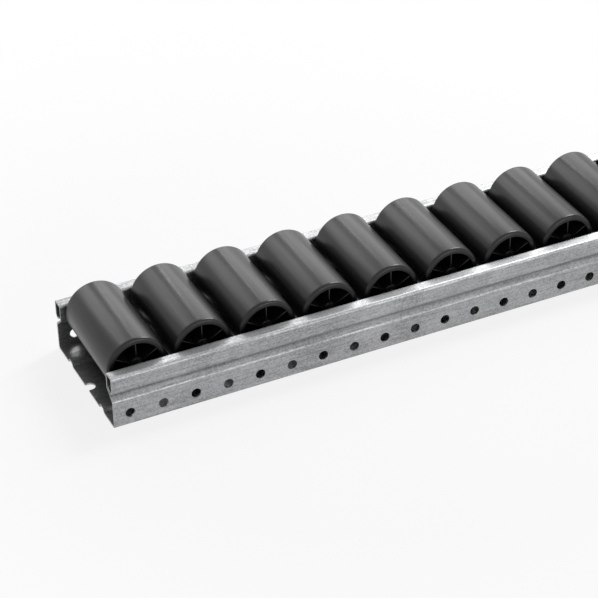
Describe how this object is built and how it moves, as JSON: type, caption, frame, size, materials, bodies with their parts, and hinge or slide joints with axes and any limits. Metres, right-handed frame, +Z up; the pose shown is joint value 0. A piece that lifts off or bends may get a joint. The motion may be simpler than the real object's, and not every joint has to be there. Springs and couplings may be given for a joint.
{
  "type": "skate wheel conveyor track",
  "caption": "Gravity flow track: a folded steel channel rail with hemmed edges that carries a row of wide, free-turning plastic rollers on steel axles.",
  "frame": {"origin": "underside of the rail's web, in the middle of its length and width", "axes": "+X along the rail, the way the goods travel; +Y across it, along the roller axles; +Z up"},
  "size_m": [0.4, 0.088, 0.048],
  "materials": {
    "galvanised_steel": "galvanised strip, dull metallic",
    "roller_plastic": "moulded, satin black",
    "axle_steel": "bright drawn wire"
  },
  "bodies": {
    "rail": {"rail": "galvanised_steel", "axle_01": "axle_steel", "axle_02": "axle_steel", "axle_03": "axle_steel", "axle_04": "axle_steel", "axle_05": "axle_steel", "axle_06": "axle_steel", "axle_07": "axle_steel", "axle_08": "axle_steel", "axle_09": "axle_steel", "axle_10": "axle_steel"},
    "roller_01": {"roller_01": "roller_plastic"},
    "roller_02": {"roller_02": "roller_plastic"},
    "roller_03": {"roller_03": "roller_plastic"},
    "roller_04": {"roller_04": "roller_plastic"},
    "roller_05": {"roller_05": "roller_plastic"},
    "roller_06": {"roller_06": "roller_plastic"},
    "roller_07": {"roller_07": "roller_plastic"},
    "roller_08": {"roller_08": "roller_plastic"},
    "roller_09": {"roller_09": "roller_plastic"},
    "roller_10": {"roller_10": "roller_plastic"}
  },
  "joints": [
    {"name": "roller_01_spin", "type": "hinge", "parent": "rail", "child": "roller_01", "pos_m": [-0.18, 0, 0.03], "axis": [0, 1, 0], "continuous": true},
    {"name": "roller_02_spin", "type": "hinge", "parent": "rail", "child": "roller_02", "pos_m": [-0.14, 0, 0.03], "axis": [0, 1, 0], "continuous": true},
    {"name": "roller_03_spin", "type": "hinge", "parent": "rail", "child": "roller_03", "pos_m": [-0.1, 0, 0.03], "axis": [0, 1, 0], "continuous": true},
    {"name": "roller_04_spin", "type": "hinge", "parent": "rail", "child": "roller_04", "pos_m": [-0.06, 0, 0.03], "axis": [0, 1, 0], "continuous": true},
    {"name": "roller_05_spin", "type": "hinge", "parent": "rail", "child": "roller_05", "pos_m": [-0.02, 0, 0.03], "axis": [0, 1, 0], "continuous": true},
    {"name": "roller_06_spin", "type": "hinge", "parent": "rail", "child": "roller_06", "pos_m": [0.02, 0, 0.03], "axis": [0, 1, 0], "continuous": true},
    {"name": "roller_07_spin", "type": "hinge", "parent": "rail", "child": "roller_07", "pos_m": [0.06, 0, 0.03], "axis": [0, 1, 0], "continuous": true},
    {"name": "roller_08_spin", "type": "hinge", "parent": "rail", "child": "roller_08", "pos_m": [0.1, 0, 0.03], "axis": [0, 1, 0], "continuous": true},
    {"name": "roller_09_spin", "type": "hinge", "parent": "rail", "child": "roller_09", "pos_m": [0.14, 0, 0.03], "axis": [0, 1, 0], "continuous": true},
    {"name": "roller_10_spin", "type": "hinge", "parent": "rail", "child": "roller_10", "pos_m": [0.18, 0, 0.03], "axis": [0, 1, 0], "continuous": true}
  ]
}
